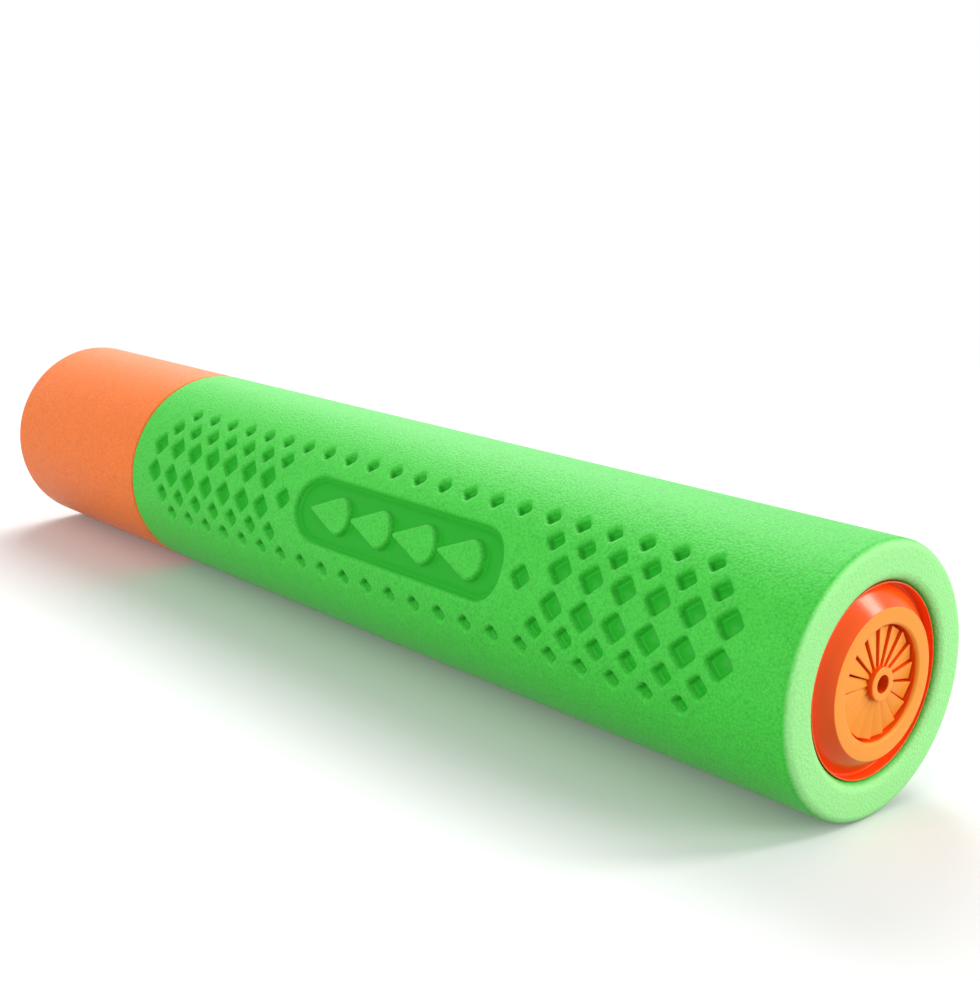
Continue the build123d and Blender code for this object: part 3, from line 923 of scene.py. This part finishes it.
def build_lamps(stage):
    """Build the softboxes, aimed at the squirter."""
    lamps = (
        ("key_softbox", (-0.5, 0.45, 0.75), 0.6, stage.key_power),
        ("side_softbox", (0.0, -1.0, 0.3), 0.6, stage.key_power * 0.8),
        ("nozzle_lamp", (0.65, 0.6, 0.7), 0.25, stage.key_power * 0.5),
        ("front_softbox", (1.1, 0.45, 0.3), 0.5, stage.key_power * 0.8),
    )
    for name, place, size, power in lamps:
        data = bpy.data.lights.new(name, "AREA")
        data.shape = "SQUARE"
        data.size = size
        data.energy = power
        lamp = bpy.data.objects.new(name, data)
        lamp.location = place
        aim = Vector((0, 0, AXIS_Z)) - lamp.location
        lamp.rotation_euler = aim.to_track_quat("-Z", "Y").to_euler()
        bpy.context.scene.collection.objects.link(lamp)


def build_camera():
    """Build the camera at the photograph's viewing angle."""
    data = bpy.data.cameras.new("photo_camera")
    data.sensor_width = SENSOR
    data.lens = FOCAL_PIXELS * SENSOR / PHOTO_HEIGHT
    data.clip_start = 0.01
    data.clip_end = 20
    camera = bpy.data.objects.new("photo_camera", data)
    back = CAMERA_RIGHT.cross(CAMERA_UP)
    turn = Matrix((CAMERA_RIGHT, CAMERA_UP, back)).transposed().to_4x4()
    place = Vector((SLEEVE_FRONT, 0, AXIS_Z)) + CAMERA_FROM_FACE
    camera.matrix_world = Matrix.Translation(place) @ turn
    bpy.context.scene.collection.objects.link(camera)
    bpy.context.scene.camera = camera
    bpy.context.scene.view_settings.view_transform = "Standard"


class SQUIRTER_OT_foam(bpy.types.Operator):
    """Dress the foam sleeve and the foam grip"""

    bl_idname = "squirter.foam"
    bl_label = "Foam"

    def execute(self, context):
        build_sleeve(context.scene.squirter_foam)
        build_grip(context.scene.squirter_foam)
        return {"FINISHED"}


class SQUIRTER_OT_nozzle(bpy.types.Operator):
    """Dress the nozzle cap and its fan"""

    bl_idname = "squirter.nozzle"
    bl_label = "Nozzle"

    def execute(self, context):
        plastic = context.scene.squirter_plastic
        shaded_gloss, lit_satin = build_cap(plastic)
        build_fan(plastic, shaded_gloss, lit_satin)
        return {"FINISHED"}


class SQUIRTER_OT_pump(bpy.types.Operator):
    """Dress the tube, collar, rod, piston, seals, screws, handle core and end cap"""

    bl_idname = "squirter.pump"
    bl_label = "Pump"

    def execute(self, context):
        plastic = context.scene.squirter_plastic
        white = moulded_material(
            "white_polypropylene",
            list(plastic.white),
            roughness=0.35,
            texture_mm=3.0,
            bump_strength=0.08,
        )
        rubber = moulded_material(
            "black_nitrile_rubber",
            list(plastic.rubber),
            roughness=0.6,
            texture_mm=0.8,
            bump_strength=0.2,
        )
        steel = steel_material("stainless_steel_turned", list(plastic.steel))
        finishes = {"seal_rubber": rubber, "screw_steel": steel}
        for part in frame["record"]["subparts"]:
            node = frame["nodes"][part["node"]]
            node.data.materials.clear()
            node.data.materials.append(finishes.get(part["material_slot"], white))
            soften_edges(node, plastic.edge)
        return {"FINISHED"}


class SQUIRTER_OT_stage(bpy.types.Operator):
    """Set up the floor, lamps, world and camera"""

    bl_idname = "squirter.stage"
    bl_label = "Stage"

    def execute(self, context):
        stage = context.scene.squirter_stage
        build_floor(stage)
        build_world(stage)
        build_lamps(stage)
        build_camera()
        return {"FINISHED"}


class SQUIRTER_PT_panel(bpy.types.Panel):
    """List the squirter's settings and operators"""

    bl_idname = "SQUIRTER_PT_panel"
    bl_label = "Foam Water Squirter"
    bl_space_type = "VIEW_3D"
    bl_region_type = "UI"
    bl_category = "Squirter"

    def draw(self, context):
        for group in SETTINGS:
            settings = getattr(context.scene, group)
            for name in settings.__annotations__:
                self.layout.prop(settings, name)
        for operator in OPERATORS:
            self.layout.operator(operator.bl_idname)


SETTINGS = {
    "squirter_foam": SquirterFoam,
    "squirter_plastic": SquirterPlastic,
    "squirter_stage": SquirterStage,
}
OPERATORS = (
    SQUIRTER_OT_foam,
    SQUIRTER_OT_nozzle,
    SQUIRTER_OT_pump,
    SQUIRTER_OT_stage,
)


def register():
    """Register the classes and hang the settings on the scene."""
    for group in (*SETTINGS.values(), *OPERATORS, SQUIRTER_PT_panel):
        bpy.utils.register_class(group)
    for name, group in SETTINGS.items():
        setattr(bpy.types.Scene, name, PointerProperty(type=group))


def unregister():
    """Undo register."""
    for name in SETTINGS:
        delattr(bpy.types.Scene, name)
    for group in (SQUIRTER_PT_panel, *reversed(OPERATORS), *reversed(SETTINGS.values())):
        bpy.utils.unregister_class(group)


def main():
    """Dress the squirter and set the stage."""
    register()
    for name in ("foam", "nozzle", "pump", "stage"):
        getattr(bpy.ops.squirter, name)()


if __name__ == "__main__":
    main()
